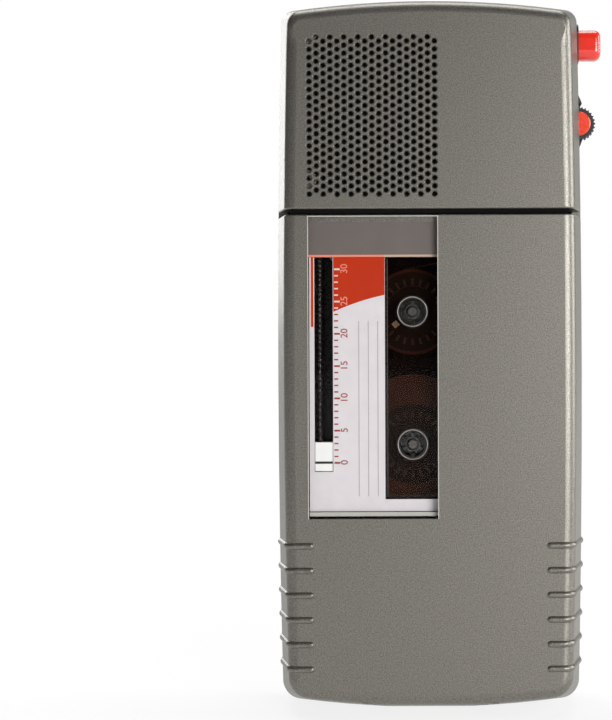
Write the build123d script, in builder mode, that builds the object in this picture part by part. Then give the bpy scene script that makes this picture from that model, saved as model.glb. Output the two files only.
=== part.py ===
"""Hand-held dictation machine with an index cassette, standing upright.

Millimetres, +Z up. The front faces -Y. The origin is the middle of the flat base,
X = 0 is the middle of the case, and Y = 0 lies midway between front and back.
"""
import os
from math import cos, radians, sin, tan

from build123d import *

os.makedirs("parts", exist_ok=True)

# Case
case_height = 144.0
half_width = 31.0
front_y = -12.5
back_y = 12.5
parting_y = -3.0
parting_gap = 0.3
wall = 1.6
draft = 13.0  # slope of the front shells' side walls, degrees
front_radius = 2.4
side_bow_radius = 3000.0
side_bow_z = 72.0  # height of the widest section
end_bow_radius = 200.0
base_flat_half = 8.0
top_corner = 2.7
base_corner = 4.0
door_top = 99.7
head_bottom = 100.8
deck_front = -1.9
deck_back = -0.9

# Door hinge
hinge_y = -8.0
hinge_z = 5.0
hinge_round = 5.0
hinge_gap = 0.3

# Window
window_left = -24.3
window_right = 1.7
window_bottom = 39.15
window_top = 99.4

# Cassette
cas_left = -24.6
cas_right = 21.5
cas_bottom = 38.8
cas_top = 95.4
cas_front = -10.2
cas_back = -2.2
cas_split = -6.2
cas_wall = 0.9
hub_x = -3.5
supply_z = 53.8
takeup_z = 80.4
hub_radius = 8.0
supply_pack_radius = 13.9
takeup_pack_radius = 8.6
tape_front = -8.1
tape_back = -4.3
tape_x = 20.1
roller_x = 18.6
lower_roller_z = 41.7
upper_roller_z = 92.5
roller_radius = 1.45

# Drive
capstan_x = 19.2
capstan_z = 52.0
capstan_radius = 0.75
flywheel_groove = 8.2
motor_x = 17.0
motor_z = 84.0
motor_groove = 1.8
clutch_groove = 4.0
belt_thickness = 0.7
belt_air = 0.2
pulley_front = 0.3
pulley_back = 2.9
play_travel = 1.9

# Cells
cell_radius = 7.1
cell_length = 50.5
cell_y = 3.2
lower_cell_z = 14.0
upper_cell_z = 28.6


def depth(y):
    """Sketch plane at depth y. Its normal points to the front, its own axes are X and Z."""
    return Plane.XZ.offset(-y)


def case_outline(y, inset, top_corner, bottom_corner):
    """Outline of the case in the plane at depth y, drawn in by inset from its widest section."""
    side = half_width - inset
    top_x = side - (case_height - side_bow_z) ** 2 / (2 * side_bow_radius)
    base_x = side - side_bow_z**2 / (2 * side_bow_radius)
    top = case_height - inset
    top_z = top - top_x**2 / (2 * end_bow_radius)

    def base(x):
        return inset + (x**2 - base_flat_half**2) / (2 * end_bow_radius)

    base_z = base(base_x)
    near = (base_x + base_flat_half) / 2
    with BuildSketch(depth(y)) as outline:
        with BuildLine():
            ThreePointArc((-top_x, top_z), (0, top), (top_x, top_z))
            ThreePointArc((top_x, top_z), (side, side_bow_z), (base_x, base_z))
            ThreePointArc((base_x, base_z), (near, base(near)), (base_flat_half, inset))
            Line((base_flat_half, inset), (-base_flat_half, inset))
            ThreePointArc((-base_flat_half, inset), (-near, base(near)), (-base_x, base_z))
            ThreePointArc((-base_x, base_z), (-side, side_bow_z), (-top_x, top_z))
        make_face()
        fillet(outline.vertices().sort_by(Axis.Y)[2:4], bottom_corner)
        fillet(outline.vertices().sort_by(Axis.Y)[-2:], top_corner)
    return outline.sketch


def wall_x(z):
    """Half width of the case at its widest section, at height z."""
    return half_width - (z - side_bow_z) ** 2 / (2 * side_bow_radius)


def block(x0, x1, y0, y1, z0, z1, mode=Mode.ADD):
    """Plain block between two corners, in the frame of the machine."""
    middle = ((x0 + x1) / 2, (y0 + y1) / 2, (z0 + z1) / 2)
    with Locations(middle):
        Box(abs(x1 - x0), abs(y1 - y0), abs(z1 - z0), mode=mode)


def rod(x, z, radius, y_front, y_back, mode=Mode.ADD):
    """Cylinder along Y between two depths."""
    with BuildSketch(depth(y_back)) as section:
        with Locations((x, z)):
            Circle(radius)
    extrude(section.sketch, amount=y_back - y_front, mode=mode)


def ring(x, z, outer, inner, y_front, y_back):
    """Tube along Y between two depths."""
    with BuildSketch(depth(y_back)) as section:
        with Locations((x, z)):
            Circle(outer)
            Circle(inner, mode=Mode.SUBTRACT)
    extrude(section.sketch, amount=y_back - y_front)


# ---- Front shells: one drafted block, split into head cover and door ----

shell_inset = (parting_y - front_y) * tan(radians(draft))
cavity_front = front_y + wall
cavity_inset = wall + (parting_y - cavity_front) * tan(radians(draft))

with BuildPart() as front_block:
    loft(
        [
            case_outline(parting_y, 0, top_corner, base_corner),
            case_outline(front_y, shell_inset, top_corner + 0.3, base_corner + 0.5),
        ],
        ruled=True,
    )
    fillet(front_block.faces().sort_by(Axis.Y)[0].edges(), front_radius)

with BuildPart() as front_cavity:
    loft(
        [
            case_outline(parting_y, wall, top_corner - wall, base_corner - wall),
            case_outline(cavity_front, cavity_inset, top_corner - wall, base_corner - wall),
        ],
        ruled=True,
    )

seam_round = 0.3
end_wall = 1.4  # walls that close the two front shells at the seam

# Grille: staggered columns of small countersunk holes
grille_columns = 19
grille_rows = 20
grille_pitch = 1.6
grille_column_pitch = grille_pitch * cos(radians(30))
grille_x = -23.9
grille_z = 103.8
grille_hole = 0.48
grille_sink = 0.7
grille_points = [
    (grille_x + column * grille_column_pitch, grille_z + (row + column % 2 / 2) * grille_pitch)
    for column in range(grille_columns)
    for row in range(grille_rows)
]
speaker_x = -11.4
speaker_z = 119.3
speaker_radius = 14.0

head_screws = [(-24.4, 136.2), (11.0, 138.0), (-24.6, 106.6), (24.6, 106.6)]
deck_case_screws = [(-26.0, 41.0), (25.9, 40.6)]

with BuildPart() as head_cavity:
    add(front_cavity.part)
    split(bisect_by=Plane.XY.offset(head_bottom + end_wall), keep=Keep.TOP)

with BuildPart() as head_cover:
    add(front_block.part)
    split(bisect_by=Plane.XY.offset(head_bottom), keep=Keep.TOP)
    seam_edges = head_cover.faces().sort_by(Axis.Z)[0].edges()
    fillet(seam_edges.filter_by(lambda e: e.center().Y < parting_y - 0.01), seam_round)
    add(head_cavity.part, mode=Mode.SUBTRACT)
    with Locations(depth(front_y)):
        with Locations(*grille_points):
            CounterSinkHole(grille_hole, grille_sink, wall + 0.4, 90)
    for boss_x, boss_z in head_screws:
        ring(boss_x, boss_z, 2.2, 0.9, cavity_front, parting_y)
head_cover.part.label = "head_cover"

# Door: grip ribs run across the front edge and round the side
rib_z = [9.3 + 4.9 * index for index in range(6)]
rib_radius = 0.75
rib_sink = 0.35
rib_inner_x = 23.8
rib_back_y = 6.0


def front_rib(z, side):
    """Half-round bead from the front face round the drafted side wall to the parting plane."""
    edge_x = wall_x(z) - shell_inset - rib_sink
    overrun = 0.6
    wide_x = wall_x(z) - rib_sink + overrun * tan(radians(draft))
    sunk_front = front_y + rib_sink
    with BuildLine() as path:
        FilletPolyline(
            (side * rib_inner_x, sunk_front, z),
            (side * edge_x, sunk_front, z),
            (side * wide_x, parting_y + overrun, z),
            radius=front_radius - rib_sink,
        )
    with BuildPart() as rib:
        with BuildSketch(Plane((side * rib_inner_x, sunk_front, z), z_dir=(side, 0, 0))):
            Circle(rib_radius)
        sweep(path=path.line)
        with Locations((side * rib_inner_x, sunk_front, z)):
            Sphere(rib_radius)
        split(bisect_by=depth(parting_y), keep=Keep.TOP)
    return rib.part


ribs = [front_rib(z, side) for z in rib_z for side in (-1, 1)]
lug_x = 10.0
lug_half = 1.2
pin_radius = 1.0

boss_width = 2.0
slot_play = 0.4

with BuildPart() as door_cavity:
    add(front_cavity.part)
    split(bisect_by=Plane.XY.offset(door_top - end_wall), keep=Keep.BOTTOM)

# Waste below the hinge axis: it leaves the lower back corner round about the axis, to clear the rear shell
with BuildPart() as hinge_corner:
    block(-40, 40, hinge_y, parting_y + 1, -1, hinge_z)
    with BuildSketch(Plane.YZ):
        with Locations((hinge_y, hinge_z)):
            Circle(hinge_round)
    extrude(amount=45, both=True, mode=Mode.SUBTRACT)

with BuildPart() as door_shell:
    add(front_block.part)
    split(bisect_by=Plane.XY.offset(door_top), keep=Keep.BOTTOM)
    seam_edges = door_shell.faces().sort_by(Axis.Z)[-1].edges()
    fillet(seam_edges.filter_by(lambda e: e.center().Y < parting_y - 0.01), seam_round)
    add(ribs)
    add(door_cavity.part, mode=Mode.SUBTRACT)
    window_back = cavity_front + 0.2
    block(window_left, window_right, front_y - 1, window_back, window_bottom, door_top + 1, Mode.SUBTRACT)
    for side in (-1, 1):
        boss_start = side * (lug_x + lug_half + slot_play)
        boss_end = boss_start + side * boss_width
        block(boss_start, boss_end, front_y + 1, hinge_y + 2, 2.2, hinge_z + 2.2)
        with BuildSketch(Plane.YZ.offset(boss_start)):
            with Locations((hinge_y, hinge_z)):
                Circle(pin_radius)
        extrude(amount=boss_width + 1, both=True, mode=Mode.SUBTRACT)
        slot = side * (lug_x - lug_half - slot_play)
        block(slot, boss_start, hinge_y - 1.2, parting_y + 1, -1, hinge_z + 4, Mode.SUBTRACT)
    add(hinge_corner.part, mode=Mode.SUBTRACT)
door_shell.part.label = "door_shell"

with BuildPart() as hinge_pins:
    for side in (-1, 1):
        with BuildSketch(Plane.YZ.offset(side * (lug_x + 0.8))):
            with Locations((hinge_y, hinge_z)):
                Circle(pin_radius)
        extrude(amount=2.4, both=True)
hinge_pins.part.label = "hinge_pins"

# Clear pane, flush with the door, and the grey mask behind its top end
pane_bevel = 0.25
mask_bottom = 91.3
with BuildPart() as window_pane:
    block(window_left, window_right, front_y, cavity_front, window_bottom, window_top)
    chamfer(window_pane.faces().sort_by(Axis.Y)[0].edges(), pane_bevel)
window_pane.part.label = "window_pane"

with BuildPart() as window_mask:
    block(window_left - 0.6, window_right + 0.6, cavity_front, cavity_front + 0.25, mask_bottom, 98.3)
window_mask.part.label = "window_mask"

# Leaf spring in the door that keeps the cassette down on its spindles
with BuildPart() as cassette_spring:
    block(6, 12, cavity_front, cavity_front + 0.3, 46, 88)
    with BuildSketch(Plane.YZ.offset(6)):
        with BuildLine():
            ThreePointArc((cavity_front, 52), (cavity_front + 0.5, 67), (cavity_front, 82))
            Line((cavity_front, 82), (cavity_front, 52))
        make_face()
    extrude(amount=6)
cassette_spring.part.label = "cassette_spring"

with BuildPart() as door_latch:
    block(21, 25, -7.6, -4.4, 95.8, 98.3)
    block(22, 24, -4.4, -3.2, 96.6, 98.3)
    chamfer(door_latch.faces().sort_by(Axis.Y)[-1].edges().sort_by(Axis.Z)[0], 0.6)
door_latch.part.label = "door_latch"

# Black bulkhead that shows as the dark line between head cover and door
frame_half = 27.8
frame_front = front_y + 1.1
with BuildPart() as mid_frame:
    add(front_block.part)
    split(bisect_by=Plane.XY.offset(head_bottom), keep=Keep.BOTTOM)
    split(bisect_by=Plane.XY.offset(door_top + 0.25), keep=Keep.TOP)
    block(-frame_half, frame_half, frame_front, deck_front, door_top, head_bottom, Mode.INTERSECT)
mid_frame.part.label = "mid_frame"

# ---- Rear shell ----

rear_front = parting_y + parting_gap
back_wall = 1.6
rear_inside = back_y - back_wall
button_low = 132.3
button_high = 138.5
button_front = -1.5
button_back = 3.5
button_y = (button_front + button_back) / 2
button_z = (button_low + button_high) / 2
bezel_sink = 0.5
bezel_width = button_back - button_front + 2.2
bezel_height = button_high - button_low + 1.9
bezel_half = 5.5
wheel_x = 30.75
wheel_z = 119.3
wheel_radius = 3.54
wheel_front = 0.0
wheel_back = 2.5
slider_low = 84.0
slider_high = 98.0
slider_y = 4.0
ear_socket_z = 112.0
mic_socket_z = 122.0
socket_y = 4.0
ear_radius = 1.8
mic_radius = 1.3
cover_half = 26.4
cover_low = 6.4
cover_high = 37.4

with BuildPart() as rear_cavity:
    extrude(case_outline(rear_inside, 1.8, 1.4, 2.4), amount=20, dir=(0, -1, 0))

# Cradle under the door's round lower edge
cradle_top = 4.2
with BuildPart() as cradle:
    add(front_block.part)
    block(-40, 40, hinge_y, parting_y, -1, hinge_z, Mode.INTERSECT)
    extrude(case_outline(rear_front, 0, top_corner, base_corner), amount=parting_gap, dir=(0, -1, 0))
    block(-40, 40, hinge_y, rear_front + 1.6, -1, cradle_top, Mode.INTERSECT)

with BuildPart() as rear_shell:
    extrude(case_outline(back_y, 0, top_corner, base_corner), amount=back_y - rear_front, dir=(0, -1, 0))
    fillet(rear_shell.faces().sort_by(Axis.Y)[-1].edges(), 2.6)
    for z in rib_z:
        for side in (-1, 1):
            with BuildSketch(depth(rib_back_y)):
                with Locations((side * (wall_x(z) - rib_sink), z)):
                    Circle(rib_radius)
            extrude(amount=rib_back_y - rear_front)
            with Locations((side * (wall_x(z) - rib_sink), rib_back_y, z)):
                Sphere(rib_radius)
    add(rear_cavity.part, mode=Mode.SUBTRACT)
    add(cradle.part)
    block(-28.4, 28.4, rear_front, rear_front + 1.4, 2.6, cradle_top)
    with BuildSketch(Plane.YZ):
        with Locations((hinge_y, hinge_z)):
            Circle(hinge_round + hinge_gap)
    extrude(amount=45, both=True, mode=Mode.SUBTRACT)
    for side in (-1, 1):
        with BuildSketch(Plane.YZ.offset(side * lug_x)):
            with Locations((hinge_y, hinge_z)):
                Circle(1.8)
            with Locations(((hinge_y + rear_front + 0.6) / 2, hinge_z - 0.5)):
                Rectangle(rear_front + 0.6 - hinge_y, 2.6)
            with Locations((hinge_y, hinge_z)):
                Circle(pin_radius + 0.06, mode=Mode.SUBTRACT)
        extrude(amount=lug_half, both=True)
    # Openings: battery bay, record button, wheel, slider, sockets
    block(-cover_half, cover_half, rear_inside - 1, back_y + 1, cover_low, cover_high, Mode.SUBTRACT)
    block(28, 33, button_front - 0.15, button_back + 0.15, button_low - 0.15, button_high + 0.15, Mode.SUBTRACT)
    with BuildSketch(Plane.YZ.offset(wall_x(button_z) - bezel_sink)):
        with Locations((button_y, button_z)):
            RectangleRounded(bezel_width, bezel_height, 1.6)
    extrude(amount=3, mode=Mode.SUBTRACT)
    block(28, 33, -1.2, 7.5, wheel_z - 4.2, wheel_z + 4.2, Mode.SUBTRACT)
    block(wall_x(wheel_z), 33, -1.9, 7.5, wheel_z - bezel_half, wheel_z + bezel_half, Mode.SUBTRACT)
    block(28.4, wall_x(slider_low) - 0.05, slider_y - 2.3, slider_y + 2.3, slider_low - 0.8, slider_high + 0.8)
    block(29.4, 33, slider_y - 1.5, slider_y + 1.5, slider_low + 0.6, slider_high - 0.6, Mode.SUBTRACT)
    block(28, 33, slider_y - 0.6, slider_y + 0.6, slider_low + 1.6, slider_high - 1.6, Mode.SUBTRACT)
    with BuildSketch(Plane.YZ.offset(-28)):
        with Locations((socket_y, ear_socket_z)):
            Circle(ear_radius + 1.2)
        with Locations((socket_y, mic_socket_z)):
            Circle(mic_radius + 1.2)
    extrude(amount=-5, mode=Mode.SUBTRACT)
    for boss_x, boss_z in head_screws:
        rod(boss_x, boss_z, 2.4, rear_front, rear_inside)
    for boss_x, boss_z in deck_case_screws:
        rod(boss_x, boss_z, 2.4, deck_back, rear_inside)
    for boss_x, boss_z in head_screws + deck_case_screws:
        rod(boss_x, boss_z, 1.05, rear_front - 1, back_y + 1, Mode.SUBTRACT)
        rod(boss_x, boss_z, 2.0, back_y - 1.3, back_y + 1, Mode.SUBTRACT)
rear_shell.part.label = "rear_shell"

with BuildPart() as case_screws:
    for screw_x, screw_z in head_screws:
        rod(screw_x, screw_z, 0.9, -7.5, back_y - 1.3)
    for screw_x, screw_z in deck_case_screws:
        rod(screw_x, screw_z, 0.9, deck_back - 0.6, back_y - 1.3)
    for screw_x, screw_z in head_screws + deck_case_screws:
        rod(screw_x, screw_z, 1.8, back_y - 1.3, back_y - 0.3)
        with Locations((screw_x, back_y - 0.4, screw_z)):
            Box(2.4, 0.6, 0.5, mode=Mode.SUBTRACT)
            Box(0.5, 0.6, 2.4, mode=Mode.SUBTRACT)
case_screws.part.label = "case_screws"

cover_play = 0.15
with BuildPart() as battery_cover:
    block(
        -cover_half + cover_play, cover_half - cover_play, rear_inside, back_y,
        cover_low + cover_play, cover_high - cover_play,
    )
    fillet(battery_cover.edges().filter_by(Axis.Y), 1.0)
    for index in range(5):
        with Locations((0, back_y, 29.5 + 1.4 * index)):
            Box(14 - 1.2 * index, 0.8, 0.7, mode=Mode.SUBTRACT)
battery_cover.part.label = "battery_cover"

# ---- Battery bay ----

tray_front = -4.9
with BuildPart() as battery_tray:
    block(-27.4, 27.4, tray_front, tray_front + 0.8, 6.2, 36.6)
    block(-27.4, 27.4, tray_front, 10.2, 36.0, 36.8)
    block(-27.4, -26.8, tray_front, 10.2, 6.2, 36.6)
    block(26.8, 27.4, tray_front, 10.2, 6.2, 36.6)
    block(-27.4, 27.4, tray_front, 10.2, 6.0, 6.7)
    with BuildSketch(Plane.YZ):
        with Locations((hinge_y, hinge_z)):
            Circle(hinge_round + hinge_gap)
    extrude(amount=30, both=True, mode=Mode.SUBTRACT)
battery_tray.part.label = "battery_tray"


def cell(name_part, z, way):
    """AA cell lying across the case, its button end towards way."""
    with BuildPart() as body:
        with BuildSketch(Plane.YZ.offset(-way * 24.6)):
            with Locations((cell_y, z)):
                Circle(cell_radius)
        extrude(amount=way * (cell_length - 1.4))
        fillet(body.edges().filter_by(GeomType.CIRCLE), 0.5)
        with BuildSketch(Plane.YZ.offset(way * (cell_length - 1.4 - 24.6))):
            with Locations((cell_y, z)):
                Circle(2.7)
        extrude(amount=way * 1.4)
    body.part.label = name_part
    return body


battery_cell_lower = cell("battery_cell_lower", lower_cell_z, 1)
battery_cell_upper = cell("battery_cell_upper", upper_cell_z, -1)

with BuildPart() as battery_contacts:
    for z, side in ((lower_cell_z, -1), (upper_cell_z, 1)):
        with BuildSketch(Plane.YZ.offset(side * 24.6)):
            with Locations((cell_y, z)):
                Circle(3.6)
                Circle(2.8, mode=Mode.SUBTRACT)
        extrude(amount=side * 1.8)
    for side in (-1, 1):
        for z in (lower_cell_z, upper_cell_z):
            block(side * 26.4, side * 26.8, cell_y - 5, cell_y + 5, z - 5, z + 5)
    block(26.4, 26.8, cell_y - 3, cell_y + 3, lower_cell_z, upper_cell_z)
battery_contacts.part.label = "battery_contacts"

# ---- Chassis deck and what it carries ----

supply = (hub_x, supply_z)
takeup = (hub_x, takeup_z)
capstan = (capstan_x, capstan_z)
motor = (motor_x, motor_z)
pin_points = [(-19.5, 42.4), (-19.5, 91.8)]
deck_screw_points = [(-26.2, 70.0), (6.0, 95.6), (-12.0, 40.6)]
bearing_radius = 2.0

with BuildPart() as chassis_deck:
    block(-28.4, 28.4, deck_front, deck_back, 37.2, 99.6)
    for hole_x, hole_z in (supply, takeup):
        rod(hole_x, hole_z, 1.6, deck_front - 1, deck_back + 1, Mode.SUBTRACT)
    rod(capstan_x, capstan_z, bearing_radius, deck_front - 1, deck_back + 1, Mode.SUBTRACT)
    for hole_x, hole_z in deck_screw_points + deck_case_screws:
        rod(hole_x, hole_z, 0.9, deck_front - 1, deck_back + 1, Mode.SUBTRACT)
    for pin_x, pin_z in pin_points:
        rod(pin_x, pin_z, 0.8, -4.6, deck_back)
    for post_x, post_z in deck_screw_points:
        ring(post_x, post_z, 1.8, 0.7, deck_back, rear_inside)
chassis_deck.part.label = "chassis_deck"

with BuildPart() as deck_screws:
    for screw_x, screw_z in deck_screw_points:
        rod(screw_x, screw_z, 0.7, deck_front, 3.0)
        rod(screw_x, screw_z, 1.5, deck_front - 0.25, deck_front)
deck_screws.part.label = "deck_screws"

with BuildPart() as capstan_bearing:
    ring(capstan_x, capstan_z, bearing_radius, capstan_radius + 0.04, -2.1, deck_back)
    ring(capstan_x, capstan_z, 3.2, capstan_radius + 0.04, deck_back, deck_back + 0.7)
capstan_bearing.part.label = "capstan_bearing"


def drive_pulley(x, z, groove, rim, hub_bore):
    """Grooved pulley in the belt's plane."""
    ring(x, z, rim, hub_bore, pulley_front, pulley_front + 0.6)
    ring(x, z, groove, hub_bore, pulley_front + 0.6, pulley_back - 0.6)
    ring(x, z, rim, hub_bore, pulley_back - 0.6, pulley_back)


with BuildPart() as flywheel:
    drive_pulley(capstan_x, capstan_z, flywheel_groove, 9.0, capstan_radius)
    ring(capstan_x, capstan_z, 8.6, 5.0, pulley_back, pulley_back + 2.0)
flywheel.part.label = "flywheel"

with BuildPart() as capstan_shaft:
    rod(capstan_x, capstan_z, capstan_radius, -8.6, 5.5)
    chamfer(capstan_shaft.faces().sort_by(Axis.Y)[0].edges(), 0.2)
capstan_shaft.part.label = "capstan_shaft"

motor_shaft = 0.6
with BuildPart() as motor_can:
    rod(motor_x, motor_z, 9.0, 3.6, 10.0)
    fillet(motor_can.faces().sort_by(Axis.Y)[-1].edges(), 0.8)
    rod(motor_x, motor_z, 2.4, 3.2, 3.6)
    rod(motor_x, motor_z, motor_shaft + 0.04, 3.0, 5.0, Mode.SUBTRACT)
    for angle in (50, 230):
        foot_x = motor_x + 6.2 * cos(radians(angle))
        foot_z = motor_z + 6.2 * sin(radians(angle))
        rod(foot_x, foot_z, 1.0, deck_back, 3.6)
motor_can.part.label = "motor_can"

with BuildPart() as motor_pulley:
    drive_pulley(motor_x, motor_z, motor_groove, 2.7, motor_shaft)
    rod(motor_x, motor_z, motor_shaft, pulley_front, 4.8)
motor_pulley.part.label = "motor_pulley"

with BuildPart() as takeup_clutch:
    drive_pulley(hub_x, takeup_z, clutch_groove, 4.9, 1.06)
takeup_clutch.part.label = "takeup_clutch"

with BuildPart() as drive_belt:
    with BuildSketch(depth(1.9)) as belt_loop:
        for (pulley_x, pulley_z), groove in (
            (capstan, flywheel_groove), (motor, motor_groove), (takeup, clutch_groove),
        ):
            with Locations((pulley_x, pulley_z)):
                Circle(groove + belt_air + belt_thickness)
        make_hull()
        offset(amount=-belt_thickness, mode=Mode.SUBTRACT)
    extrude(amount=belt_thickness)
drive_belt.part.label = "drive_belt"

# Spindles: a shaft through the deck, a hexagonal core with three fins and a pointed tip
spindle_hex = 1.6
fin_reach = 2.15
fin_width = 0.6


def spindle(name_part, z, shaft_back):
    with BuildPart() as body:
        rod(hub_x, z, 1.0, -3.6, shaft_back)
        rod(hub_x, z, 3.4, deck_front - 1.2, deck_front - 0.3)
        rod(hub_x, z, 1.52, deck_front - 0.3, deck_back)
        with BuildSketch(depth(deck_front - 1.2)):
            with Locations((hub_x, z)):
                RegularPolygon(spindle_hex, 6)
        extrude(amount=5.6)
        with BuildSketch(depth(deck_front - 1.2)):
            with Locations((hub_x, z)):
                with PolarLocations(0, 3, start_angle=90):
                    with Locations((fin_reach / 2, 0)):
                        Rectangle(fin_reach, fin_width)
        extrude(amount=4.6)
        with BuildSketch(depth(deck_front - 6.8)):
            with Locations((hub_x, z)):
                Circle(1.3)
        extrude(amount=0.9, taper=28)
    body.part.label = name_part
    return body


supply_spindle = spindle("supply_spindle", supply_z, 1.2)
takeup_spindle = spindle("takeup_spindle", takeup_z, pulley_back + 0.6)

# Head plate slides towards the tape when play is chosen
plate_front = -2.7
head_z = 66.5
erase_z = 59.0
head_face = tape_x + 0.2 + play_travel
pinch_radius = 2.2
pinch_x = tape_x + 0.25 + play_travel + pinch_radius
plate_left = 23.8
axle_round = 0.6
axle_cap = 0.9
with BuildPart() as head_plate:
    block(plate_left, 27.6, plate_front, plate_front + 0.7, 46.5, 90.0)
    block(26.9, 27.6, plate_front, -1.0 + plate_front, 74.0, 90.0)
    for guide_z in (55.8, 75.0):
        block(24.2, 26.4, plate_front, plate_front - 1.0, guide_z - 0.6, guide_z + 0.6)
    rod(pinch_x, capstan_z, axle_round, -8.9, plate_front)
    rod(pinch_x, capstan_z, axle_cap, -9.3, -8.9)
head_plate.part.label = "head_plate"

with BuildPart() as record_play_head:
    block(head_face, head_face + 4.4, -8.5, plate_front, head_z - 2.6, head_z + 2.6)
    fillet(record_play_head.faces().sort_by(Axis.X)[0].edges().filter_by(Axis.Y), 1.6)
record_play_head.part.label = "record_play_head"

with BuildPart() as erase_head:
    block(head_face, head_face + 3.4, -8.5, plate_front, erase_z - 1.5, erase_z + 1.5)
    fillet(erase_head.faces().sort_by(Axis.X)[0].edges().filter_by(Axis.Y), 0.9)
erase_head.part.label = "erase_head"

with BuildPart() as pinch_roller:
    ring(pinch_x, capstan_z, pinch_radius, 0.65, -8.7, -3.1)
pinch_roller.part.label = "pinch_roller"

# ---- Cassette ----

cassette_corner = 1.6
slot_left = -23.1
slot_right = -19.4
slot_low = 48.4
slot_high = 93.1
insert_left = -8.8
insert_right = 16.0
insert_low = 42.9
insert_high = 91.3
hub_hole = 3.35
capstan_hole = 1.5
head_notches = [(capstan_z, 2.8), (erase_z, 2.1), (head_z, 3.2)]


def cassette_rect(inset):
    with Locations(((cas_left + cas_right) / 2, (cas_bottom + cas_top) / 2)):
        RectangleRounded(
            cas_right - cas_left - 2 * inset, cas_top - cas_bottom - 2 * inset, cassette_corner - inset * 0.8,
        )


def cut_head_notches(y_front, y_back):
    for notch_z, half in head_notches:
        block(tape_x - 0.1, cas_right + 1, y_front, y_back, notch_z - half, notch_z + half, Mode.SUBTRACT)


with BuildPart() as cassette_front_half:
    with BuildSketch(depth(cas_split)):
        cassette_rect(0)
    extrude(amount=cas_split - cas_front)
    outer_edges = cassette_front_half.faces().sort_by(Axis.Y)[0].edges()
    chamfer(outer_edges.sort_by(Axis.Z)[0], 0.9)
    with BuildSketch(depth(cas_split)):
        cassette_rect(cas_wall)
    extrude(amount=cas_split - cas_front - cas_wall, mode=Mode.SUBTRACT)
    block(insert_left, insert_right, cas_front - 1, cas_front + 1.5, insert_low, insert_high, Mode.SUBTRACT)
    block(slot_left, slot_right, cas_front - 1, cas_front + 1.5, slot_low, slot_high, Mode.SUBTRACT)
    cut_head_notches(-9.2, cas_split + 1)
cassette_front_half.part.label = "cassette_front_half"

with BuildPart() as cassette_back_half:
    with BuildSketch(depth(cas_back)):
        cassette_rect(0)
    extrude(amount=cas_back - cas_split)
    with BuildSketch(depth(cas_back - cas_wall)):
        cassette_rect(cas_wall)
    extrude(amount=cas_back - cas_wall - cas_split, mode=Mode.SUBTRACT)
    for hole_x, hole_z in (supply, takeup):
        rod(hole_x, hole_z, hub_hole + 0.5, cas_back - 3, cas_back + 1, Mode.SUBTRACT)
    rod(capstan_x, capstan_z, capstan_hole, cas_back - 3, cas_back + 1, Mode.SUBTRACT)
    for pin_x, pin_z in pin_points:
        rod(pin_x, pin_z, 1.0, cas_back - 3, cas_back + 1, Mode.SUBTRACT)
    for roller_z in (lower_roller_z, upper_roller_z):
        rod(roller_x, roller_z, 0.5, tape_front - 0.4, cas_back - cas_wall)
    cut_head_notches(cas_split - 1, cas_back + 1)
cassette_back_half.part.label = "cassette_back_half"

with BuildPart() as cassette_window:
    block(insert_left, insert_right, cas_front, cas_front + 0.9, insert_low, insert_high)
    for hole_x, hole_z in (supply, takeup):
        rod(hole_x, hole_z, hub_hole, cas_front - 1, cas_front + 2, Mode.SUBTRACT)
cassette_window.part.label = "cassette_window"

label_thickness = 0.08
with BuildPart() as cassette_label:
    block(cas_left + 0.5, cas_right - 0.6, cas_front - label_thickness, cas_front, 40.5, cas_top - 0.8)
    block(insert_left - 0.2, cas_right, cas_front - 1, cas_front + 1, insert_low, cas_top, Mode.SUBTRACT)
    block(slot_left, slot_right, cas_front - 1, cas_front + 1, slot_low, slot_high, Mode.SUBTRACT)
cassette_label.part.label = "cassette_label"

with BuildPart() as guide_rollers:
    for roller_z in (lower_roller_z, upper_roller_z):
        ring(roller_x, roller_z, roller_radius, 0.5, tape_front - 0.2, tape_back + 0.2)
guide_rollers.part.label = "guide_rollers"

with BuildPart() as pressure_pad:
    block(18.3, 18.5, tape_front, tape_back, head_z - 5, head_z + 5)
    block(18.5, tape_x - 0.25, tape_front + 0.6, tape_back - 0.6, head_z - 1.8, head_z + 1.8)
    block(17.6, 18.3, tape_back - 1.0, cas_back - cas_wall, head_z - 5, head_z - 4)
    block(17.6, 18.3, tape_back - 1.0, cas_back - cas_wall, head_z + 4, head_z + 5)
pressure_pad.part.label = "pressure_pad"

tape_thickness = 0.1
roller_reach = tape_x - roller_x
pack_air = 0.12


def tangent(roller, pack, pack_reach, way):
    """Ends of the straight stretch from a guide roller to a pack, above (1) or below (-1) both."""
    run = Vector(*pack) - Vector(*roller)
    along = run.normalized()
    across = Vector(-along.Y, along.X) * -way
    lean = (roller_reach - pack_reach) / run.length
    normal = along * lean + across * (1 - lean**2) ** 0.5
    return Vector(*roller) + normal * roller_reach, Vector(*pack) + normal * pack_reach


with BuildPart() as tape_run:
    with BuildSketch(depth(tape_back)):
        with BuildLine():
            low, pack_low = tangent((roller_x, lower_roller_z), supply, supply_pack_radius + pack_air, -1)
            high, pack_high = tangent((roller_x, upper_roller_z), takeup, takeup_pack_radius + pack_air, 1)
            Line(pack_low, low)
            RadiusArc(low, (tape_x, lower_roller_z), -roller_reach)
            Line((tape_x, lower_roller_z), (tape_x, upper_roller_z))
            RadiusArc((tape_x, upper_roller_z), high, -roller_reach)
            Line(high, pack_high)
        trace(line_width=tape_thickness)
    extrude(amount=tape_back - tape_front)
tape_run.part.label = "tape_run"

tooth_count = 3


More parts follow.
